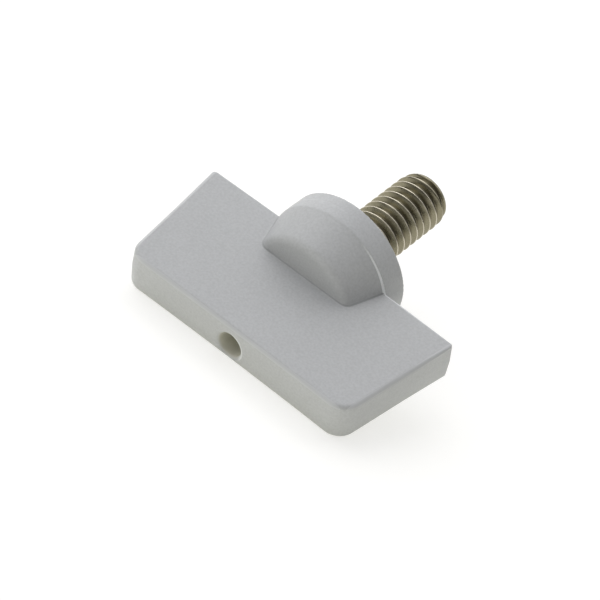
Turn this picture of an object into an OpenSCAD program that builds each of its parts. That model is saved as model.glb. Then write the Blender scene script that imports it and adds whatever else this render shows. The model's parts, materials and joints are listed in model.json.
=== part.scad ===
// Wing bolt: a moulded plastic wing handle with a threaded steel stud moulded into it.
// Units are millimetres and +Z is up. Each piece is drawn upright first: x runs along the
// wing, y along the stud towards its tip, and y = 0 is the collar's front face, where the
// wing ends. lay_down() then turns it to the way it lies on a table: on the wing's outer
// edge and the collar's rim, with the stud pointing up at a slant. The origin is on the
// table, under the middle of the bolt.

/* [Wing] */
// Length of the wing along its back edge, beside the collar
wing_back_len = 31; // [26:0.1:38]
// Length of the wing along its outer edge
wing_front_len = 27.6; // [23:0.1:34]
// Depth of the wing from the collar to its outer edge
wing_depth = 14.2; // [12:0.1:18]
// Thickness of the wing
wing_thick = 4.4; // [3.6:0.1:5.2]
// Radius of the two outer corners, seen from above
outer_corner_r = 1.8; // [1:0.1:5]
// Radius of the two back corners, seen from above
back_corner_r = 0.4; // [0.3:0.1:2]
// Draft of the wing's edges on each side of the parting line, in degrees
wing_draft = 2; // [0.5:0.5:4]
// Rounding along the wing's outer edge
outer_edge_r = 0.45; // [0.2:0.05:0.6]
// Rounding along the wing's back edge
back_edge_r = 0.2; // [0.1:0.05:0.4]

/* [Hub] */
// Diameter of the collar
collar_d = 14.4; // [13:0.1:18]
// Thickness of the collar
collar_thick = 2.7; // [1.8:0.1:4]
// Rounding of the collar's two rims
collar_edge_r = 0.12; // [0.05:0.01:0.3]
// Length of the tapered hub in front of the collar
hub_len = 3.9; // [3.2:0.1:4.8]
// Distance from the collar's rim in to the hub's surface, where the hub starts at the top
hub_step = 0.04; // [0.02:0.01:0.1]
// Rise of the hub's section above the stud's axis, where the hub starts
hub_back_rise = 0.16; // [0:0.02:0.3]
// Radius of the arc over the hub's flat front face
hub_face_r = 5.7; // [5.3:0.1:5.9]
// Depth of that arc's centre below the stud's axis
hub_face_drop = 1.1; // [0.9:0.1:1.4]
// Rounding between the hub's front face and its tapered sides
hub_round_r = 1.2; // [0.6:0.1:1.4]

/* [Pin hole] */
// Diameter of the blind hole in the middle of the outer edge
pin_hole_d = 2.7; // [1.5:0.1:2.8]
// Depth of the hole
pin_hole_depth = 4; // [2:0.5:6]
// Rounding of the hole's mouth
pin_hole_round_r = 0.25; // [0.1:0.05:0.3]

/* [Stud] */
// Crest diameter of the stud's metric thread
stud_d = 5.9; // [4.9:0.1:6.9]
// Length of the stud that stands out of the collar
stud_len = 12.3; // [8:0.1:30]
// Diameter of the flat end of the stud's tip
tip_d = 4.7; // [3.6:0.1:4.8]
// Length of the taper at the stud's tip
tip_len = 1.3; // [0.5:0.1:2]
// Depth from the thread's crests to the plain neck inside the plastic
neck_step = 0.3; // [0.1:0.05:0.6]
// Gap round the crests at the collar's face, where the plastic is countersunk to the neck
relief_gap = 0.15; // [0.1:0.05:0.4]
// Width across the flats of the hexagonal head that holds the stud in the hub
head_flats = 8; // [7.5:0.1:8.5]
// Thickness of the head
head_thick = 2.5; // [1.5:0.1:3]
// Plastic between the head and the collar's back face
head_cover = 3; // [2.5:0.1:3.5]

/* [Hidden] */
$fn = 96;
wing_corner_fn = 32;
hub_fn = 64;
arc_steps = 6;
// How far the hub's root and the cutting shapes run on past a face
root = 1;
// How far the wing's back edge runs into the collar
wing_inset = 0.15;

wing_half_t = wing_thick / 2;
wing_back_y = wing_inset;
wing_front_y = -wing_depth;
side_lean = atan((wing_back_len - wing_front_len) / 2 / (wing_back_y - wing_front_y));

collar_r = collar_d / 2;
hub_back_r = collar_r - hub_step - hub_back_rise;
pin_hole_r = pin_hole_d / 2;

stud_r = stud_d / 2;
neck_r = stud_r - neck_step;
tip_r = tip_d / 2;
tip_y = collar_thick + stud_len;
head_back_y = collar_thick - head_cover;
head_front_y = head_back_y - head_thick;
head_corner_r = head_flats / 2 / cos(30);

// At rest the wing's lower outer edge and the collar's front rim both touch the table. Each
// is rounded, so the table is a line that is tangent to two circles in the y-z plane, one
// about the edge's centre and one about the rim's.
edge_y = wing_front_y + edge_inset(outer_edge_r);
edge_z = outer_edge_r - wing_half_t;
rim_y = collar_edge_r;
rim_z = collar_edge_r - collar_r;
rest_span = norm([rim_y - edge_y, rim_z - edge_z]);
rest_tilt = atan2(edge_z - rim_z, rim_y - edge_y)
    + asin((collar_edge_r - outer_edge_r) / rest_span);
rest_lift = outer_edge_r - edge_y * sin(rest_tilt) - edge_z * cos(rest_tilt);
rest_y_max = tip_y * cos(rest_tilt) + tip_r * sin(rest_tilt);
rest_y_min = edge_y * cos(rest_tilt) + edge_z * sin(rest_tilt) - outer_edge_r;

module lay_down() {
    translate([0, -(rest_y_min + rest_y_max) / 2, rest_lift])
        rotate([rest_tilt, 0, 0])
            children();
}

// Turns a shape drawn along z so that it runs along y
module along_y() {
    rotate([-90, 0, 0]) children();
}

// An arc's points about a centre, from one angle to another
function arc(centre, r, from, to) = [
    for (i = [0 : arc_steps])
        let (a = from + (to - from) * i / arc_steps)
        centre + r * [cos(a), sin(a)]
];

// Distance from the wing's outline at the parting line in to the centre of its edge rounding
function edge_inset(edge_r) =
    (edge_r + (wing_half_t - edge_r) * sin(wing_draft)) / cos(wing_draft);

// Centre of a round wing corner of radius r, at a given y
function corner_x(y, r) =
    wing_back_len / 2 - (wing_back_y - y) * tan(side_lean) - r / cos(side_lean);

// A round corner of the wing: drafted both ways from the parting line, with round edges
module wing_corner(r, edge_r) {
    top = arc([r - edge_inset(edge_r), wing_half_t - edge_r], edge_r, wing_draft, 90);
    bottom = [for (i = [arc_steps : -1 : 0]) [top[i][0], -top[i][1]]];
    rotate_extrude($fn = wing_corner_fn)
        polygon(concat([[0, -wing_half_t]], bottom, [[r, 0]], top, [[0, wing_half_t]]));
}

module wing() {
    back_y = wing_back_y - back_corner_r;
    outer_y = wing_front_y + outer_corner_r;
    hull()
        for (side = [-1, 1]) {
            translate([side * corner_x(back_y, back_corner_r), back_y, 0])
                wing_corner(back_corner_r, back_edge_r);
            translate([side * corner_x(outer_y, outer_corner_r), outer_y, 0])
                wing_corner(outer_corner_r, outer_edge_r);
        }
}

// The round collar behind the wing, with both rims rounded
module collar() {
    flat_r = collar_r - collar_edge_r;
    front = arc([flat_r, collar_edge_r], collar_edge_r, -90, 0);
    back = arc([flat_r, collar_thick - collar_edge_r], collar_edge_r, 0, 90);
    along_y()
        rotate_extrude()
            polygon(concat([[0, 0]], front, back, [[0, collar_thick]]));
}

// The tapered hub on the wing's upper side. Its round section shrinks and sinks from the
// collar to a flat front face, which meets the tapered sides in a round edge.
module upper_hub() {
    front_edge = arc([hub_face_r, hub_round_r - hub_len], hub_round_r, -90, 0);
    intersection() {
        hull() {
            translate([0, 0, -hub_face_drop])
                along_y()
                    rotate_extrude($fn = hub_fn)
                        polygon(concat([[0, -hub_len]], front_edge, [[0, hub_round_r - hub_len]]));
            translate([0, 0, hub_back_rise])
                along_y()
                    cylinder(r = hub_back_r, h = root, $fn = hub_fn);
        }
        translate([-collar_r, -hub_len - root, 0])
            cube([collar_d, hub_len + 3 * root, collar_d]);
    }
}

module hub() {
    upper_hub();
    mirror([0, 0, 1]) upper_hub();
}

// The blind hole in the outer edge, with a rounded mouth
module pin_hole() {
    mouth_r = pin_hole_r + pin_hole_round_r;
    mouth = arc([mouth_r, pin_hole_round_r], pin_hole_round_r, 270, 180);
    bottom = [[pin_hole_r, pin_hole_depth], [0, pin_hole_depth]];
    translate([0, wing_front_y, 0])
        along_y()
            rotate_extrude()
                polygon(concat([[0, -root], [mouth_r, -root]], mouth, bottom));
}

// The stud: outside the plastic its shank is at the thread's crest diameter, with a tapered
// tip. Inside it has a plain neck and the hexagonal head that holds it.
module stud() {
    translate([0, head_front_y, 0])
        along_y()
            cylinder(r = head_corner_r, h = head_thick, $fn = 6);
    along_y()
        rotate_extrude()
            polygon([[0, head_front_y + root], [neck_r, head_front_y + root],
                     [neck_r, collar_thick], [stud_r, collar_thick],
                     [stud_r, tip_y - tip_len], [tip_r, tip_y], [0, tip_y]]);
}

// The countersink in the collar's face, where the neck comes out of the plastic
module relief() {
    depth = neck_step + relief_gap;
    translate([0, collar_thick - depth, 0])
        along_y()
            cylinder(r1 = neck_r, r2 = neck_r + 2 * depth, h = 2 * depth);
}

module wing_handle() {
    color([0.70, 0.71, 0.72])
        lay_down()
            difference() {
                union() {
                    wing();
                    collar();
                    hub();
                }
                pin_hole();
                relief();
                stud();
            }
}

module threaded_stud() {
    color([0.42, 0.40, 0.35])
        lay_down()
            stud();
}

wing_handle();
threaded_stud();
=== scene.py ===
"""Wing bolt: a moulded plastic wing handle on a threaded steel stud, lying on a white table.

The pieces are drawn upright, in metres: x runs along the wing, y along the stud towards its
tip, and y = 0 is the collar's front face. The frame's mounts say how the bolt lies on the
table, and each finished mesh is turned and moved there.
"""
import json
import math

import bpy
import numpy as np
from mathutils import Matrix, Vector


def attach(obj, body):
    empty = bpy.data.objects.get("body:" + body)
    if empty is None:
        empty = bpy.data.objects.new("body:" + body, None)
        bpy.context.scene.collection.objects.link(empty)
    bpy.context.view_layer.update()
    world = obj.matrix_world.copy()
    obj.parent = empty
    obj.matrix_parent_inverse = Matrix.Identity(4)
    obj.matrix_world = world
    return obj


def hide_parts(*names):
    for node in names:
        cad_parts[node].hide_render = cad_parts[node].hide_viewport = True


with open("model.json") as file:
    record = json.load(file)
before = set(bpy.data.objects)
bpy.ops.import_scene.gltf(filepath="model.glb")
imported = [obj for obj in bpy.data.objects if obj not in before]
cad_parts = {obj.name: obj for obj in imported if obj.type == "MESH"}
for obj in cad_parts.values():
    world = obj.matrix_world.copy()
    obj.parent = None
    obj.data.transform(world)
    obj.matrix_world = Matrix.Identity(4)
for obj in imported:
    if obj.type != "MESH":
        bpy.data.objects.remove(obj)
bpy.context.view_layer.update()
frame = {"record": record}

bl_info = {
    "name": "Wing bolt",
    "version": (1, 0, 0),
    "blender": (4, 5, 0),
    "location": "View3D > Sidebar > Wing bolt",
    "description": "Builds a moulded wing handle, its threaded stud and the table they lie on",
    "category": "Add Mesh",
}

BODY = "root"
MM = 0.001
MOUNTS = {mount["name"]: mount for mount in frame["record"]["mounts"]}
STUD_AXIS = Vector(MOUNTS["stud"]["axis"])
STUD_R = MOUNTS["stud"]["dims"]["r_mm"] * MM
HOLE_R = MOUNTS["edge_hole"]["dims"]["r_mm"] * MM
REST_TILT = math.atan2(STUD_AXIS.z, STUD_AXIS.y)


# ---------------------------------------------------------------------------------------
# Sizes and colours
# ---------------------------------------------------------------------------------------
def length(name, description, default):
    """A size in metres, shown in the scene's units."""
    return bpy.props.FloatProperty(
        name=name, description=description, default=default, min=0.0, precision=5, unit="LENGTH")


def angle(name, description, degrees):
    """An angle, kept in radians and shown in degrees."""
    return bpy.props.FloatProperty(
        name=name, description=description, default=math.radians(degrees), unit="ROTATION")


def colour(name, description, default):
    """A linear RGB colour."""
    return bpy.props.FloatVectorProperty(
        name=name, description=description, default=default, size=3, min=0.0, max=1.0,
        subtype="COLOR")


def share(name, description, default):
    """A plain number from 0 to 1."""
    return bpy.props.FloatProperty(
        name=name, description=description, default=default, min=0.0, max=1.0)


class HandleSettings(bpy.types.PropertyGroup):
    """Sizes and colour of the moulded handle."""
    wing_back_len: length("Back length", "Length of the wing beside the collar", 0.0310)
    wing_front_len: length("Outer length", "Length of the wing along its outer edge", 0.0276)
    wing_depth: length("Depth", "Depth of the wing from the collar to its outer edge", 0.0142)
    wing_thick: length("Thickness", "Thickness of the wing", 0.0044)
    wing_inset: length("Inset", "How far the wing's back edge runs into the collar", 0.00015)
    wing_bow: length("Bow", "How far the wing's edges bend in the middle", 0.00015)
    outer_corner_r: length("Outer corner", "Radius of the two outer corners", 0.0018)
    back_corner_r: length("Back corner", "Radius of the two back corners", 0.0004)
    outer_edge_r: length("Outer rounding", "Rounding along the outer edge", 0.00045)
    back_edge_r: length("Back rounding", "Rounding along the back edge", 0.0002)
    wing_draft: angle("Draft", "Lean of the wing's edges from the parting line", 2.0)
    collar_r: length("Collar radius", "Radius of the collar", 0.0072)
    collar_thick: length("Collar thickness", "Thickness of the collar", 0.0027)
    collar_edge_r: length("Collar rounding", "Rounding of the collar's rims", 0.00006)
    hub_len: length("Hub length", "Length of the hub in front of the collar", 0.00405)
    hub_back_r: length("Hub back radius", "Radius of the arc over the hub's back", 0.0070)
    hub_front_r: length("Hub front radius", "Radius of that arc at the hub's front", 0.00588)
    hub_rise: length("Hub rise", "Rise of the arc's centre at the collar", 0.00016)
    hub_drop: length("Hub drop", "Drop of the arc's centre at the hub's front", 0.00007)
    hub_low_drop: length("Lower hub drop", "Extra drop of the arc's centre under the wing", 0.00014)
    hub_shift: bpy.props.FloatProperty(
        name="Hub shift", description="Sideways step of the hub's mould half", default=-0.00016,
        unit="LENGTH")
    hub_round_r: length("Hub rounding", "Rounding round the hub's front face", 0.00065)
    fillet_r: length("Fillet", "Fillet where the hub meets the wing", 0.00012)
    hole_depth: length("Hole depth", "Depth of the hole in the outer edge", 0.0040)
    hole_round_r: length("Hole rounding", "Rounding of the hole's mouth", 0.00035)
    hole_place: bpy.props.FloatVectorProperty(
        name="Hole place", description="Place of the hole's axis, along the wing and up",
        size=2, default=(-0.00038, -0.00034), unit="LENGTH")
    fit_gap: length("Fit gap", "Gap between the plastic and the steel inside it", 0.00002)
    grid_step: length("Grid step", "Spacing of the grid that the skin is drawn on", 0.00014)
    plastic: colour("Plastic", "Colour of the plastic", (0.46, 0.468, 0.48))
    # The hole's lighter colour is painted light in the hole's shade
    hole_light_colour: colour("Hole", "Colour of the plastic inside the hole", (0.64, 0.63, 0.56))
    grain: share("Grain", "Strength of the moulded surface's fine grain", 0.4)


class StudSettings(bpy.types.PropertyGroup):
    """Sizes and colours of the threaded stud."""
    stud_len: length("Length", "Length of the stud outside the collar", 0.0123)
    pitch: length("Pitch", "Distance from one crest of the thread to the next", 0.0010)
    thread_depth: length("Thread depth", "Depth of the thread from crest to root", 0.00053)
    thread_turn: share("Thread turn", "Share of a turn that the thread is turned by", 0.23)
    tip_r: length("Tip radius", "Radius of the flat end", 0.00235)
    tip_len: length("Tip rounding", "Length of the rounding at the tip", 0.0018)
    neck_step: length("Neck step", "Depth from the crests to the plain neck", 0.0003)
    neck_end: length("Neck end", "Distance from the collar's back face to the head", 0.0030)
    head_thick: length("Head thickness", "Thickness of the head inside the hub", 0.0025)
    head_flats: length("Head width", "Width across the head's flats", 0.0080)
    columns: bpy.props.IntProperty(
        name="Columns", description="Points round the stud, a multiple of six", default=120)
    rows_per_turn: bpy.props.IntProperty(
        name="Rows a turn", description="Rows of points along each pitch", default=16)
    crest: colour("Crest", "Colour of the bright thread crests", (0.66, 0.61, 0.5))
    flank: colour("Flank", "Colour of the thread's flanks", (0.28, 0.256, 0.178))
    root: colour("Root", "Colour of the dark thread roots", (0.12, 0.106, 0.07))


class StageSettings(bpy.types.PropertyGroup):
    """The table, the light and the camera, which is placed in the upright drawing's frame."""
    azimuth: angle("Azimuth", "Turn of the camera from the wing's outer edge", 33.355)
    elevation: angle("Elevation", "Height of the camera above the wing's plane", 47.765)
    roll: angle("Roll", "Turn of the camera about its line of sight", 10.65)
    distance: length("Distance", "Distance from the camera to its aim point", 0.3073)
    aim: bpy.props.FloatVectorProperty(
        name="Aim", description="Point that the camera looks at", unit="LENGTH",
        default=(-0.00053, -0.00324, -0.00219))
    lens: bpy.props.FloatProperty(
        name="Lens", description="Focal length in millimetres on a 36 mm sensor", default=190.4)
    table: colour("Table", "Colour of the table", (0.93, 0.93, 0.93))
    glow: colour("Glow", "Soft warm light that the table gives off", (0.45, 0.444, 0.335))
    fade: share("Fade", "How far the table's shadow fades into the white background", 0.5)
    backdrop: colour("Backdrop", "Colour that the table fades into", (0.79, 0.79, 0.87))
    sky: share("Sky", "Strength of the even light from above", 0.38)


def upright():
    """The matrix that lays an upright drawing down on the table."""
    handle = bpy.context.scene.wing_bolt_handle
    face = Vector(MOUNTS["collar_face"]["pos_m"]).dot(STUD_AXIS)
    middle = Vector(MOUNTS["stud"]["pos_m"])
    start = middle + STUD_AXIS * (face - handle.collar_thick - middle.dot(STUD_AXIS))
    return Matrix.Translation(start) @ Matrix.Rotation(REST_TILT, 4, "X")


# ---------------------------------------------------------------------------------------
# Handle: a distance field, skinned with quads
# ---------------------------------------------------------------------------------------
COS_45 = 0.7071
RELIEF_STEPS = 1.5  # depth of the countersink at the stud's neck, in neck steps
SETTLE_ROUNDS = 4
LEAST_STEEP = 0.25  # least squared slope that a settling step divides by
SETTLE_PARTS = 10  # the slope is taken over this part of a grid step to each side
GRID_MARGIN = 2  # empty grid steps round the handle
BACK_BLEND = 3  # way over which the wing's edge rounding changes, in outer corner radii


def both(a, b, radius):
    """Field of what is inside both a and b, with the edge between them rounded."""
    over = np.hypot(np.maximum(a + radius, 0.0), np.maximum(b + radius, 0.0))
    return np.minimum(np.maximum(a, b), -radius) + over


def either(a, b, radius):
    """Field of what is inside a or b, with a fillet in the corner between them."""
    return -both(-a, -b, radius)


def wing_field(size, x, y, z):
    """The flat wing: a trapezoid with round corners, drafted both ways from its mid-plane."""
    lean = math.atan((size.wing_back_len - size.wing_front_len) / 2
                     / (size.wing_depth + size.wing_inset))
    bent = y - size.wing_bow * (1 - (2 * x / size.wing_front_len) ** 2)
    draft = np.abs(z) * math.tan(size.wing_draft)
    edge_x = size.wing_back_len / 2 - (size.wing_inset - bent) * math.tan(lean)
    side = (np.abs(x) - edge_x) * math.cos(lean) + draft
    outer = -size.wing_depth - bent + draft
    back = bent - size.wing_inset + draft
    outline = both(both(side, outer, size.outer_corner_r), back, size.back_corner_r)
    backness = np.clip(1 + bent / (BACK_BLEND * size.outer_corner_r), 0.0, 1.0)
    edge_r = size.outer_edge_r + (size.back_edge_r - size.outer_edge_r) * backness
    return both(outline, np.abs(z) - size.wing_thick / 2, edge_r)


def hub_field(size, x, y, z):
    """The hub on both sides of the wing: a cone that narrows and sinks towards its front."""
    ahead = np.minimum(y, 0.0) / size.hub_len
    drop = size.hub_drop + np.where(z < 0, size.hub_low_drop, 0.0)
    centre = size.hub_rise + (size.hub_rise + drop) * ahead
    radius = size.hub_back_r + (size.hub_back_r - size.hub_front_r) * ahead
    slope = math.atan((size.hub_back_r - size.hub_front_r + size.hub_rise) / size.hub_len)
    away = np.hypot(x - size.hub_shift, np.abs(z) - centre)
    round_side = (away - radius) * math.cos(slope)
    front = both(round_side, -size.hub_len - y, size.hub_round_r)
    return np.maximum(front, y - size.collar_thick / 2)


def collar_field(size, x, y, z):
    """The round collar."""
    half = size.collar_thick / 2
    return both(np.hypot(x, z) - size.collar_r, np.abs(y - half) - half, size.collar_edge_r)


def hole_field(size, x, y, z):
    """The blind hole in the middle of the outer edge."""
    bottom = y + size.wing_depth - size.hole_depth
    side = np.hypot(x - size.hole_place[0], z - size.hole_place[1]) - HOLE_R
    return both(side, bottom, size.hole_round_r)


def steel_field(size, stud, x, y, z):
    """The room that the stud's neck and head take up inside the plastic."""
    gap = size.fit_gap
    neck_r = STUD_R - stud.neck_step + gap
    away = np.hypot(x, z)
    relief = y - size.collar_thick + stud.neck_step * RELIEF_STEPS
    countersink = (away - neck_r - relief) * COS_45
    head_back = size.collar_thick - stud.neck_end + gap
    neck = np.maximum(np.minimum(away - neck_r, countersink), head_back - 2 * gap - y)
    flats = [np.abs(x * math.sin(turn) + z * math.cos(turn))
             for turn in (0.0, math.pi / 3, 2 * math.pi / 3)]
    across = np.maximum(np.maximum(flats[0], flats[1]), flats[2]) - stud.head_flats / 2 - gap
    head_mid = size.collar_thick - stud.neck_end - stud.head_thick / 2
    head = np.maximum(across, np.abs(y - head_mid) - stud.head_thick / 2 - gap)
    return np.minimum(neck, head)


def handle_field(size, stud, x, y, z):
    """The whole handle."""
    wing = wing_field(size, x, y, z)
    solid = either(wing, hub_field(size, x, y, z), size.fillet_r)
    solid = either(solid, collar_field(size, x, y, z), size.wing_inset / 2)
    solid = both(solid, -hole_field(size, x, y, z), size.hole_round_r)
    return np.maximum(solid, -steel_field(size, stud, x, y, z))


def crossing_points(value, cells):
    """For each cell, the mean of the points where its edges pass through the surface."""
    total = np.zeros(cells.shape)
    count = np.zeros(len(cells))
    for axis in range(3):
        unit = np.eye(3, dtype=int)[axis]
        across = [np.eye(3, dtype=int)[other] for other in range(3) if other != axis]
        for offset in (0 * unit, across[0], across[1], across[0] + across[1]):
            start = cells + offset
            end = start + unit
            low = value[tuple(start.T)]
            high = value[tuple(end.T)]
            crosses = (low < 0) != (high < 0)
            part = np.where(crosses, low / np.where(crosses, low - high, 1.0), 0.0)
            total += crosses[:, None] * (start + part[:, None] * unit)
            count += crosses
    return total / count[:, None]


def skin(field, low, high, step):
    """Points and quads of the surface where a field is zero, by surface nets."""
    axes = [np.arange(a, b + step, step) for a, b in zip(low, high)]
    value = field(*np.meshgrid(*axes, indexing="ij", sparse=True))
    inside = value < 0
    shape = np.array(inside.shape) - 1
    filled = np.zeros(shape, dtype=int)
    for i, j, k in np.ndindex(2, 2, 2):
        filled += inside[i:i + shape[0], j:j + shape[1], k:k + shape[2]]
    cut = (filled > 0) & (filled < 8)
    number = np.full(shape, -1)
    number[cut] = np.arange(cut.sum())
    points = np.array(low) + step * crossing_points(value, np.argwhere(cut))
    quads = []
    for axis in range(3):
        unit = np.eye(3, dtype=int)
        u, v = unit[(axis + 1) % 3], unit[(axis + 2) % 3]
        before = np.take(inside, np.arange(shape[axis]), axis)
        after = np.take(inside, np.arange(1, shape[axis] + 1), axis)
        edge = np.argwhere(before != after)
        around = [edge - u - v, edge - v, edge, edge - u]
        corners = np.stack([number[tuple(cell.T)] for cell in around], 1)
        leaving = before[tuple(edge.T)]
        quads.append(np.where(leaving[:, None], corners, corners[:, ::-1]))
    return points, np.concatenate(quads)


def settle(field, points, reach):
    """Moves points along the field's slope until they lie on the surface."""
    for _ in range(SETTLE_ROUNDS):
        slope = np.stack([
            (field(*(points + reach * unit).T) - field(*(points - reach * unit).T)) / (2 * reach)
            for unit in np.eye(3)], 1)
        steep = np.maximum((slope ** 2).sum(1), LEAST_STEEP)
        points = points - (field(*points.T) / steep)[:, None] * slope
    return points


# ---------------------------------------------------------------------------------------
# Stud: Geometry Nodes
# ---------------------------------------------------------------------------------------
class Tree:
    """A node tree that is written as sums: each call adds a node and returns its output."""

    def __init__(self, tree):
        self.tree = tree

    def node(self, kind, inputs=(), **settings):
        """Adds a node, sets its properties and feeds its inputs by name or number."""
        node = self.tree.nodes.new(kind)
        for key, value in settings.items():
            setattr(node, key, value)
        for key, value in dict(inputs).items():
            self.feed(node.inputs[key], value)
        return node

    def feed(self, socket, value):
        """Links an output to a socket, or sets the socket's own value."""
        if isinstance(value, bpy.types.NodeSocket):
            self.tree.links.new(value, socket)
        else:
            socket.default_value = value

    def math(self, operation, *values):
        """A Math node's result."""
        return self.node("ShaderNodeMath", dict(enumerate(values)), operation=operation).outputs[0]

    def spread(self, value, start, end, low=0.0, high=1.0):
        """Carries a value over from one range to another, and holds it inside that one."""
        return self.node("ShaderNodeMapRange", {
            "Value": value, "From Min": start, "From Max": end, "To Min": low,
            "To Max": high}).outputs[0]

    def noise(self, place, scale, detail):
        """Fractal noise."""
        return self.node("ShaderNodeTexNoise", {
            "Vector": place, "Scale": scale, "Detail": detail}).outputs[0]

    def choose(self, index, values):
        """The value whose place in the list is index."""
        node = self.node("GeometryNodeIndexSwitch", {"Index": index}, data_type="FLOAT")
        while len(node.index_switch_items) < len(values):
            node.index_switch_items.new()
        for place, value in enumerate(values):
            self.feed(node.inputs[place + 1], value)
        return node.outputs[0]


STUD_INPUTS = {
    "Start": "NodeSocketFloat", "Length": "NodeSocketFloat", "Pitch": "NodeSocketFloat",
    "Crest radius": "NodeSocketFloat", "Thread depth": "NodeSocketFloat",
    "Thread turn": "NodeSocketFloat",
    "Tip radius": "NodeSocketFloat", "Tip rounding": "NodeSocketFloat",
    "Neck radius": "NodeSocketFloat", "Neck length": "NodeSocketFloat",
    "Head width": "NodeSocketFloat", "Head thickness": "NodeSocketFloat",
    "Columns": "NodeSocketInt", "Rows a turn": "NodeSocketInt", "Material": "NodeSocketMaterial",
}
PLAIN_ROWS = 5  # rows of points on the head and the neck, before the thread's first row
END_ROWS = 3  # rows at the flat end: its rim, a ring just inside the rim and its middle
END_RING = 0.96  # radius of that ring, as a share of the rim's
CREST_FLAT = 0.09  # share of half a pitch, from the crest's middle, that is flat
FLANK_SPAN = 0.77  # share of half a pitch that the flank takes after that
ROOT_SOFTNESS = 0.1  # rounding between flank and root, as a share of the pitch
WELD = 1e-7  # points nearer than this are merged, in metres
SHARP_ANGLE = math.radians(38)


def thread_radius(tree, given, y, turn):
    """Radius of the thread at y, where turn is the share of a turn round the stud."""
    turned = tree.math("ADD", turn, given["Thread turn"])
    pitches = tree.math("DIVIDE", y, given["Pitch"])
    phase = tree.math("FRACT", tree.math("SUBTRACT", pitches, turned))
    from_crest = tree.math("ABSOLUTE", tree.math("MULTIPLY_ADD", phase, 2.0, -1.0))
    flank = tree.math("DIVIDE", tree.math("SUBTRACT", from_crest, CREST_FLAT), FLANK_SPAN)
    crest_r = given["Crest radius"]
    root_r = tree.math("SUBTRACT", crest_r, given["Thread depth"])
    flank_r = tree.math("SUBTRACT", crest_r, tree.math("MULTIPLY", flank, given["Thread depth"]))
    soft = tree.math("MULTIPLY", given["Pitch"], ROOT_SOFTNESS)
    grooved = tree.math("SMOOTH_MAX", flank_r, root_r, soft)
    threaded = tree.math("MINIMUM", grooved, crest_r)
    to_tip = tree.math("SUBTRACT", tree.math("ADD", given["Start"], given["Length"]), y)
    into_tip = tree.math("MAXIMUM", tree.math(
        "SUBTRACT", 1.0, tree.math("DIVIDE", to_tip, given["Tip rounding"])), 0.0)
    squared = tree.math("MULTIPLY", into_tip, into_tip)
    bulge = tree.math("SQRT", tree.math("SUBTRACT", 1.0, squared))
    tip = tree.math("MULTIPLY_ADD", tree.math("SUBTRACT", crest_r, given["Tip radius"]), bulge,
                    given["Tip radius"])
    lead_in = tree.math("ADD", given["Neck radius"], tree.math("SUBTRACT", y, given["Start"]))
    return tree.math("MINIMUM", tree.math("MINIMUM", threaded, tip), lead_in)


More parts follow.
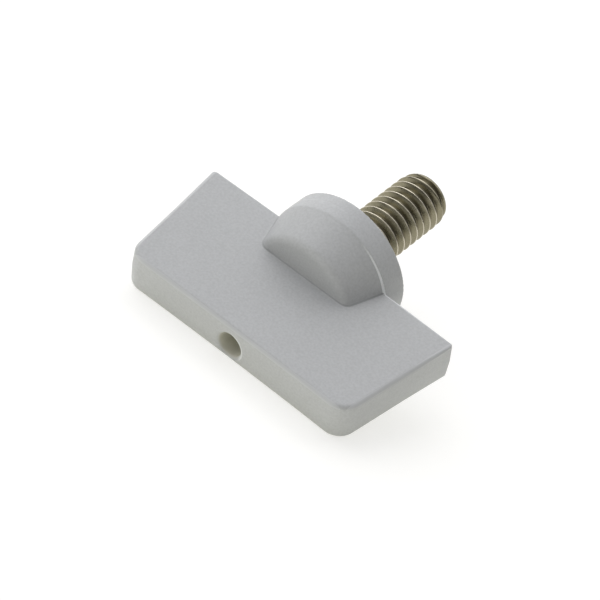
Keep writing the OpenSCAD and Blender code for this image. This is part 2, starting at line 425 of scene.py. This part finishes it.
def stud_tree():
    """Geometry Nodes for the stud: rows of points round the axis, from the head to the tip."""
    group = bpy.data.node_groups.new("threaded_stud", "GeometryNodeTree")
    group.interface.new_socket("Geometry", in_out="OUTPUT", socket_type="NodeSocketGeometry")
    for name, kind in STUD_INPUTS.items():
        group.interface.new_socket(name, in_out="INPUT", socket_type=kind)
    tree = Tree(group)
    given = tree.node("NodeGroupInput").outputs

    turns = tree.math("ADD", tree.math("DIVIDE", given["Length"], given["Pitch"]), 1.0)
    thread_rows = tree.math("CEIL", tree.math("MULTIPLY", turns, given["Rows a turn"]))
    rows = tree.math("ADD", thread_rows, PLAIN_ROWS + END_ROWS)
    columns = tree.math("ADD", given["Columns"], 1)
    grid = tree.node("GeometryNodeMeshGrid", {"Vertices X": rows, "Vertices Y": columns})
    index = tree.node("GeometryNodeInputIndex").outputs[0]
    middle = tree.math("ADD", index, 0.5)  # clear of rounding errors at the start of a row
    row = tree.math("FLOOR", tree.math("DIVIDE", middle, columns))
    column = tree.math("SUBTRACT", index, tree.math("MULTIPLY", row, columns))
    turn = tree.math("DIVIDE", column, given["Columns"])
    theta = tree.math("MULTIPLY", turn, 2 * math.pi)

    # Each row climbs one pitch round the stud, so that the crests run along the rows.
    turned = tree.math("DIVIDE", tree.math("SUBTRACT", row, PLAIN_ROWS), given["Rows a turn"])
    climbed = tree.math("SUBTRACT", tree.math("ADD", turned, turn), 1.0)
    along = tree.math("MINIMUM", tree.math("MAXIMUM", tree.math(
        "MULTIPLY", climbed, given["Pitch"]), 0.0), given["Length"])
    thread_y = tree.math("ADD", along, given["Start"])
    head_back = tree.math("SUBTRACT", given["Start"], given["Neck length"])
    head_front = tree.math("SUBTRACT", head_back, given["Head thickness"])
    part = tree.math("MINIMUM", row, PLAIN_ROWS)
    y = tree.choose(part, [head_front, head_front, head_back, head_back, given["Start"], thread_y])

    sixth = math.pi / 3
    in_sixth = tree.math("FLOORED_MODULO", tree.math("ADD", theta, sixth / 2), sixth)
    from_flat = tree.math("SUBTRACT", in_sixth, sixth / 2)
    hexagon = tree.math("DIVIDE", tree.math("MULTIPLY", given["Head width"], 0.5),
                        tree.math("COSINE", from_flat))
    to_last = tree.math("SUBTRACT", tree.math("SUBTRACT", rows, 1.0), row)
    ring = tree.choose(tree.math("MINIMUM", to_last, END_ROWS - 1.0), [0.0, END_RING, 1.0])
    thread_r = tree.math("MULTIPLY", thread_radius(tree, given, y, turn), ring)
    radius = tree.choose(part, [0.0, hexagon, hexagon, given["Neck radius"],
                                given["Neck radius"], thread_r])

    x = tree.math("MULTIPLY", radius, tree.math("SINE", theta))
    z = tree.math("MULTIPLY", radius, tree.math("COSINE", theta))
    place = tree.node("ShaderNodeCombineXYZ", {"X": x, "Y": y, "Z": z}).outputs[0]
    moved = tree.node("GeometryNodeSetPosition",
                      {"Geometry": grid.outputs["Mesh"], "Position": place}).outputs[0]
    closed = tree.node("GeometryNodeMergeByDistance",
                       {"Geometry": moved, "Distance": WELD}).outputs[0]
    outward = tree.node("GeometryNodeFlipFaces", {"Mesh": closed}).outputs[0]
    real = tree.node("GeometryNodeRealizeInstances", {"Geometry": outward}).outputs[0]
    coated = tree.node("GeometryNodeSetMaterial",
                       {"Geometry": real, "Material": given["Material"]}).outputs[0]
    tree.node("NodeGroupOutput", {"Geometry": coated})
    return group


# ---------------------------------------------------------------------------------------
# Materials
# ---------------------------------------------------------------------------------------
# Masks on the plastic: painted highlight, shade and light. Lengths are in metres.
# Painted highlight: a thin bright line on the hub's seam with the collar
SEAM_HIGHLIGHT_HALF_WIDTH = 0.00005
SEAM_HIGHLIGHT_SLOPE = 2.2  # it shows below a line that rises this steeply from the axis to the right
SEAM_HIGHLIGHT_FADE = 0.006  # height below that line at which it is full
EDGE_HIGHLIGHT_BAND = 0.8  # half the height of the edges' band of painted highlight, in edge roundings
# Painted shade: a dark line in the corner where the hub stands on the wing
HUB_SHADE_OFFSET = 0.00002  # from the hub's own surface out to the painted shade line's middle
HUB_SHADE_HALF_WIDTH = 0.0001
HUB_SHADE_ROUNDING = 1.76  # reach of the smooth corner that follows the hub's, in hub roundings
HUB_SHADE_LEFT = (-0.0062, -0.0050)  # where the line gains strength, from left to right
HUB_SHADE_FAINT = 0.35  # its strength left of there
HOLE_REACH = 1.1  # share of the hole's radius within which its painted light counts
HOLE_START = (0.5, 1.5)  # where the hole's painted light sets in, in mouth roundings
RIM_HIGHLIGHT_LIFT = 0.5  # how much the height counts beside the way to the right on the rim's painted highlight
RIM_HIGHLIGHT_RIGHT = (0.0006, 0.0012)  # where the rim's painted highlight gains strength

# Brightness of each part of the plastic, as a share of the plastic's own colour
DARK_TINT, LIGHT_TINT = 0.94, 1.06
# Painted highlight on the seam, the edges and the hole's rim; painted shade in the hub's corner
SEAM_HIGHLIGHT_TINT = 1.65
EDGE_HIGHLIGHT_TINT = 1.15
CORNER_SHADE_TINT = 0.72
RIM_HIGHLIGHT_TINT = 1.4

# Noise, as its scale in waves a metre and its detail
CLOUDS = (260.0, 2.0)
SPECKS = (4200.0, 2.0)
GRAIN = (5200.0, 3.0)
SMEAR = (1800.0, 4.0)

CLOUDY_SHARE, SPECK_SHARE, UNEVEN_SHIFT = 0.4, 2.6, -1.0
PLASTIC_ROUGHNESS = (0.42, 0.56)
PLASTIC_BUMP = 0.00002
STEEL_ROUGHNESS = (0.2, 0.36)
STEEL_GRAIN = 0.2
STEEL_BUMP = 0.00001
FLANK_STOPS = (0.3, 0.9)  # from root to crest, the stretch that has the flanks' colour
SKY_HEIGHT = (0.2, 0.5)  # where the sky's light starts and where it is full


def new_material(name):
    """An empty material: its tree, its Principled shader and its upright coordinates."""
    material = bpy.data.materials.new(name)
    material.use_nodes = True
    tree = Tree(material.node_tree)
    shader = material.node_tree.nodes["Principled BSDF"]
    flat = tree.node("ShaderNodeTexCoord").outputs["Object"]
    place = upright()
    drawn = tree.node("ShaderNodeMapping", {
        "Vector": flat, "Location": place.to_translation(), "Rotation": place.to_euler()},
        vector_type="TEXTURE").outputs[0]
    return material, tree, shader, drawn


def blend(tree, amount, first, second):
    """A colour between two others."""
    node = tree.node("ShaderNodeMix", {0: amount, 6: first, 7: second}, data_type="RGBA")
    return node.outputs[2]


def tint(plain, factor):
    """An opaque colour, made darker or lighter."""
    return (*[min(channel * factor, 1.0) for channel in plain], 1.0)


def seam_highlight(tree, across, along, up):
    """Where a painted highlight shows: on the hub's seam with the collar, low on its right side."""
    near = tree.math("COMPARE", along, 0.0, SEAM_HIGHLIGHT_HALF_WIDTH)
    highest = tree.math("MULTIPLY", across, SEAM_HIGHLIGHT_SLOPE)
    below = tree.math("SUBTRACT", highest, tree.math("ABSOLUTE", up))
    return tree.math("MULTIPLY", near, tree.spread(below, 0.0, SEAM_HIGHLIGHT_FADE))


def edge_highlight(tree, size, across, along, up):
    """Where the wing's outer and side edges get a painted highlight, a little lighter."""
    lean = (size.wing_back_len - size.wing_front_len) / 2 / (size.wing_depth + size.wing_inset)
    edge_x = tree.math("MULTIPLY_ADD", along, lean,
                       size.wing_back_len / 2 - size.wing_inset * lean - size.outer_edge_r)
    side = tree.math("GREATER_THAN", tree.math("ABSOLUTE", across), edge_x)
    outer = tree.math("LESS_THAN", along, size.outer_edge_r - size.wing_depth)
    band = tree.math("COMPARE", tree.math("ABSOLUTE", up), size.wing_thick / 2,
                     size.outer_edge_r * EDGE_HIGHLIGHT_BAND)
    return tree.math("MULTIPLY", tree.math("MAXIMUM", side, outer), band)


def hub_corner_shade(tree, size, across, along, up):
    """Painted shade: the dark line in the corner where the hub stands on the wing."""
    ahead = tree.math("DIVIDE", tree.math("MINIMUM", along, 0.0), size.hub_len)
    centre = tree.math("MULTIPLY_ADD", ahead, size.hub_rise + size.hub_drop, size.hub_rise)
    radius = tree.math("MULTIPLY_ADD", ahead, size.hub_back_r - size.hub_front_r,
                       size.hub_back_r)
    height = tree.math("ABSOLUTE", up)
    off_x = tree.math("POWER", tree.math("SUBTRACT", across, size.hub_shift), 2.0)
    off_z = tree.math("POWER", tree.math("SUBTRACT", height, centre), 2.0)
    away = tree.math("SUBTRACT", tree.math("SQRT", tree.math("ADD", off_x, off_z)), radius)
    front = tree.math("SUBTRACT", -size.hub_len, along)
    outside = tree.math("SMOOTH_MAX", away, front, HUB_SHADE_ROUNDING * size.hub_round_r)
    near = tree.math("COMPARE", outside, HUB_SHADE_OFFSET, HUB_SHADE_HALF_WIDTH)
    low = tree.math("LESS_THAN", height, size.wing_thick / 2 + HUB_SHADE_HALF_WIDTH)
    sharp = tree.spread(across, *HUB_SHADE_LEFT, low=HUB_SHADE_FAINT)
    return tree.math("MULTIPLY", tree.math("MULTIPLY", near, low), sharp)


def hole_light_and_highlight(tree, size, across, along, up):
    """Where the hole's inside gets painted light, and its right rim a painted highlight."""
    off_x = tree.math("SUBTRACT", across, size.hole_place[0])
    off_z = tree.math("SUBTRACT", up, size.hole_place[1])
    away = tree.math("SQRT", tree.math("ADD", tree.math("POWER", off_x, 2.0),
                                       tree.math("POWER", off_z, 2.0)))
    near = tree.math("LESS_THAN", away, HOLE_R * HOLE_REACH)
    start, end = [-size.wing_depth + size.hole_round_r * steps for steps in HOLE_START]
    inside = tree.math("MULTIPLY", near, tree.spread(along, start, end))
    ring = tree.math("COMPARE", away, HOLE_R + size.hole_round_r / 2, size.hole_round_r / 2)
    mouth = tree.math("LESS_THAN", along, -size.wing_depth + size.hole_round_r)
    right = tree.spread(tree.math("MULTIPLY_ADD", off_z, RIM_HIGHLIGHT_LIFT, off_x), *RIM_HIGHLIGHT_RIGHT)
    return inside, tree.math("MULTIPLY", tree.math("MULTIPLY", ring, mouth), right)


def plastic_material(size):
    """Satin moulded plastic: fine spark-eroded grain and a slightly uneven colour."""
    material, tree, shader, drawn = new_material("grey_moulded_plastic")
    across, along, up = tree.node("ShaderNodeSeparateXYZ", {0: drawn}).outputs
    cloudy = tree.noise(drawn, *CLOUDS)
    specks = tree.noise(drawn, *SPECKS)
    uneven = tree.math("MULTIPLY_ADD", specks, SPECK_SHARE, tree.math(
        "MULTIPLY_ADD", cloudy, CLOUDY_SHARE, UNEVEN_SHIFT))
    skin_colour = blend(tree, uneven, tint(size.plastic, DARK_TINT),
                        tint(size.plastic, LIGHT_TINT))
    inside, rim = hole_light_and_highlight(tree, size, across, along, up)
    # Painted highlight on the seam, edges and hole rim, painted shade in the hub's corner and
    # painted light in the hole
    for mask, shade in (
            (seam_highlight(tree, across, along, up), tint(size.plastic, SEAM_HIGHLIGHT_TINT)),
            (edge_highlight(tree, size, across, along, up), tint(size.plastic, EDGE_HIGHLIGHT_TINT)),
            (hub_corner_shade(tree, size, across, along, up), tint(size.plastic, CORNER_SHADE_TINT)),
            (inside, (*size.hole_light_colour, 1.0)),
            (rim, tint(size.plastic, RIM_HIGHLIGHT_TINT))):
        skin_colour = blend(tree, mask, skin_colour, shade)
    tree.feed(shader.inputs["Base Color"], skin_colour)
    grain = tree.noise(drawn, *GRAIN)
    tree.feed(shader.inputs["Roughness"], tree.spread(grain, 0.0, 1.0, *PLASTIC_ROUGHNESS))
    bump = tree.node("ShaderNodeBump", {
        "Strength": size.grain, "Distance": PLASTIC_BUMP, "Height": grain})
    tree.feed(shader.inputs["Normal"], bump.outputs[0])
    return material


def steel_material(stud):
    """Rolled thread: bright crests, darker flanks, dark brown roots.

    What is nearer to the axis than the roots, such as the flat end, has the roots' colour.
    """
    material, tree, shader, drawn = new_material("rolled_thread_steel")
    across, _, up = tree.node("ShaderNodeSeparateXYZ", {0: drawn}).outputs
    squares = tree.math("ADD", tree.math("POWER", across, 2.0), tree.math("POWER", up, 2.0))
    height = tree.spread(tree.math("SQRT", squares), STUD_R - stud.thread_depth, STUD_R)
    ramp = tree.node("ShaderNodeValToRGB", {0: height})
    stops = ramp.color_ramp.elements
    stops[0].position, stops[0].color = 0.0, (*stud.root, 1.0)
    stops[1].position, stops[1].color = 1.0, (*stud.crest, 1.0)
    for position in FLANK_STOPS:
        stops.new(position).color = (*stud.flank, 1.0)
    tree.feed(shader.inputs["Base Color"], ramp.outputs[0])
    shader.inputs["Metallic"].default_value = 1.0
    smear = tree.noise(drawn, *SMEAR)
    tree.feed(shader.inputs["Roughness"], tree.spread(smear, 0.0, 1.0, *STEEL_ROUGHNESS))
    bump = tree.node("ShaderNodeBump", {
        "Strength": STEEL_GRAIN, "Distance": STEEL_BUMP, "Height": smear})
    tree.feed(shader.inputs["Normal"], bump.outputs[0])
    return material


def table_material(stage):
    """Softly glowing white table that keeps the bolt's shadow and fades into white."""
    material = bpy.data.materials.new("white_table")
    material.use_nodes = True
    tree = Tree(material.node_tree)
    shader = material.node_tree.nodes["Principled BSDF"]
    shader.inputs["Base Color"].default_value = (*stage.table, 1.0)
    shader.inputs["Roughness"].default_value = 1.0
    shader.inputs["Specular IOR Level"].default_value = 0.0
    shader.inputs["Emission Color"].default_value = (*stage.glow, 1.0)
    shader.inputs["Emission Strength"].default_value = 1.0
    white = tree.node("ShaderNodeEmission", {"Color": (*stage.backdrop, 1.0), "Strength": 1.0})
    seen = tree.node("ShaderNodeLightPath").outputs
    any_seen = tree.math("MAXIMUM", seen["Is Camera Ray"], seen["Is Glossy Ray"])
    any_seen = tree.math("MAXIMUM", any_seen, seen["Is Transmission Ray"])
    mixed = tree.node("ShaderNodeMixShader", {
        0: tree.math("MULTIPLY", any_seen, stage.fade), 1: shader.outputs[0],
        2: white.outputs[0]})
    output = material.node_tree.nodes["Material Output"]
    tree.feed(output.inputs["Surface"], mixed.outputs[0])
    return material


def studio_world(stage):
    """Even light from above that dims towards the horizon."""
    world = bpy.data.worlds.new("studio")
    world.use_nodes = True
    tree = Tree(world.node_tree)
    background = world.node_tree.nodes["Background"]
    background.inputs["Color"].default_value = (1.0, 1.0, 1.0, 1.0)
    height = tree.node("ShaderNodeSeparateXYZ",
                       {0: tree.node("ShaderNodeTexCoord").outputs["Generated"]}).outputs[2]
    level = tree.spread(height, *SKY_HEIGHT, high=stage.sky)
    tree.feed(background.inputs["Strength"], level)
    return world


# ---------------------------------------------------------------------------------------
# Operators
# ---------------------------------------------------------------------------------------
TABLE_HALF = 1.0
BOLT_MIDDLE = (0.0, 0.0, 0.007)
SOFTBOXES = (  # name, place, width and power in watts
    ("left_softbox", (-0.36, 0.0, 0.48), 0.7, 1.5),
    ("back_left_softbox", (-0.42, 0.36, 0.24), 0.5, 1.0),
    ("front_softbox", (-0.30, -0.30, 0.431), 0.7, 1.05),
    ("back_softbox", (0.0, 0.45, 0.40), 0.7, 1.35),
)


def hand_over(name, mesh, node):
    """Makes a finished upright mesh a piece of the bolt, in place of its CAD node."""
    mesh.transform(upright())
    piece = bpy.data.objects.new(name, mesh)
    bpy.context.scene.collection.objects.link(piece)
    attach(piece, BODY)
    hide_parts(node)
    return piece


class WINGBOLT_OT_handle(bpy.types.Operator):
    """Build the moulded handle: wing, hub and collar in one skin"""
    bl_idname = "wingbolt.handle"
    bl_label = "Moulded handle"

    def execute(self, context):
        size = context.scene.wing_bolt_handle
        stud = context.scene.wing_bolt_stud

        def field(x, y, z):
            return handle_field(size, stud, x, y, z)

        margin = GRID_MARGIN * size.grid_step
        half_x = size.wing_back_len / 2 + margin
        low = (-half_x, -size.wing_depth - margin, -size.collar_r - margin)
        high = (half_x, size.collar_thick + margin, size.collar_r + margin)
        points, quads = skin(field, low, high, size.grid_step)
        points = settle(field, points, size.grid_step / SETTLE_PARTS)
        mesh = bpy.data.meshes.new("moulded_handle")
        mesh.from_pydata(points.tolist(), [], quads.tolist())
        mesh.materials.append(plastic_material(size))
        mesh.shade_smooth()
        hand_over("moulded_handle", mesh, "wing_handle")
        return {"FINISHED"}


class WINGBOLT_OT_stud(bpy.types.Operator):
    """Build the steel stud: its head, its neck and its rolled thread"""
    bl_idname = "wingbolt.stud"
    bl_label = "Threaded stud"

    def execute(self, context):
        size = context.scene.wing_bolt_handle
        stud = context.scene.wing_bolt_stud
        values = {
            "Start": size.collar_thick, "Length": stud.stud_len, "Pitch": stud.pitch,
            "Crest radius": STUD_R, "Thread depth": stud.thread_depth,
            "Thread turn": stud.thread_turn,
            "Tip radius": stud.tip_r, "Tip rounding": stud.tip_len,
            "Neck radius": STUD_R - stud.neck_step, "Neck length": stud.neck_end,
            "Head width": stud.head_flats, "Head thickness": stud.head_thick,
            "Columns": stud.columns, "Rows a turn": stud.rows_per_turn,
            "Material": steel_material(stud),
        }
        maker = bpy.data.objects.new("stud_maker", bpy.data.meshes.new("stud_maker"))
        context.scene.collection.objects.link(maker)
        modifier = maker.modifiers.new("threaded_stud", "NODES")
        modifier.node_group = stud_tree()
        for item in modifier.node_group.interface.items_tree:
            if item.in_out == "INPUT":
                modifier[item.identifier] = values[item.name]
        context.view_layer.update()
        evaluated = maker.evaluated_get(context.evaluated_depsgraph_get())
        mesh = bpy.data.meshes.new_from_object(evaluated)
        bpy.data.objects.remove(maker)
        mesh.shade_smooth()
        mesh.set_sharp_from_angle(angle=SHARP_ANGLE)
        hand_over("threaded_stud_steel", mesh, "threaded_stud")
        return {"FINISHED"}


def softbox(name, place, size, power):
    """A square lamp that faces the bolt."""
    lamp = bpy.data.lights.new(name, "AREA")
    lamp.size = size
    lamp.energy = power
    box = bpy.data.objects.new(name, lamp)
    box.location = place
    box.rotation_euler = (Vector(BOLT_MIDDLE) - Vector(place)).to_track_quat("-Z", "Y").to_euler()
    bpy.context.scene.collection.objects.link(box)


def place_camera(stage):
    """Puts the camera in the upright drawing's frame and turns it with the bolt."""
    flat = math.cos(stage.elevation)
    back = Vector((math.sin(stage.azimuth) * flat, -math.cos(stage.azimuth) * flat,
                   math.sin(stage.elevation)))
    level = (-back).to_track_quat("-Z", "Y").to_matrix().to_4x4()
    turned = level @ Matrix.Rotation(stage.roll, 4, "Z")
    lens = bpy.data.cameras.new("camera")
    lens.lens = stage.lens
    lens.clip_start = 0.01
    camera = bpy.data.objects.new("camera", lens)
    bpy.context.scene.collection.objects.link(camera)
    spot = Vector(stage.aim) + back * stage.distance
    camera.matrix_world = upright() @ Matrix.Translation(spot) @ turned
    bpy.context.scene.camera = camera


class WINGBOLT_OT_stage(bpy.types.Operator):
    """Build the white table, the soft light and the camera"""
    bl_idname = "wingbolt.stage"
    bl_label = "Table, light and camera"

    def execute(self, context):
        stage = context.scene.wing_bolt_stage
        sheet = bpy.data.meshes.new("table")
        corners = [(x * TABLE_HALF, y * TABLE_HALF, 0)
                   for x, y in ((-1, -1), (1, -1), (1, 1), (-1, 1))]
        sheet.from_pydata(corners, [], [(0, 1, 2, 3)])
        sheet.materials.append(table_material(stage))
        table = bpy.data.objects.new("table", sheet)
        context.scene.collection.objects.link(table)
        for box in SOFTBOXES:
            softbox(*box)
        context.scene.world = studio_world(stage)
        place_camera(stage)
        context.scene.view_settings.view_transform = "Standard"
        return {"FINISHED"}


class WINGBOLT_PT_panel(bpy.types.Panel):
    """Lists the wing bolt's operators and sizes"""
    bl_label = "Wing bolt"
    bl_idname = "WINGBOLT_PT_panel"
    bl_space_type = "VIEW_3D"
    bl_region_type = "UI"
    bl_category = "Wing bolt"

    def draw(self, context):
        layout = self.layout
        for settings, operator in (("wing_bolt_handle", "wingbolt.handle"),
                                   ("wing_bolt_stud", "wingbolt.stud"),
                                   ("wing_bolt_stage", "wingbolt.stage")):
            box = layout.box()
            group = getattr(context.scene, settings)
            for name in group.bl_rna.properties.keys():
                if name not in ("rna_type", "name"):
                    box.prop(group, name)
            box.operator(operator)


CLASSES = (HandleSettings, StudSettings, StageSettings, WINGBOLT_OT_handle, WINGBOLT_OT_stud,
           WINGBOLT_OT_stage, WINGBOLT_PT_panel)


def register():
    for made in CLASSES:
        bpy.utils.register_class(made)
    bpy.types.Scene.wing_bolt_handle = bpy.props.PointerProperty(type=HandleSettings)
    bpy.types.Scene.wing_bolt_stud = bpy.props.PointerProperty(type=StudSettings)
    bpy.types.Scene.wing_bolt_stage = bpy.props.PointerProperty(type=StageSettings)


def unregister():
    del bpy.types.Scene.wing_bolt_stage
    del bpy.types.Scene.wing_bolt_stud
    del bpy.types.Scene.wing_bolt_handle
    for made in reversed(CLASSES):
        bpy.utils.unregister_class(made)


def main():
    register()
    bpy.ops.wingbolt.handle()
    bpy.ops.wingbolt.stud()
    bpy.ops.wingbolt.stage()


if __name__ == "__main__":
    main()
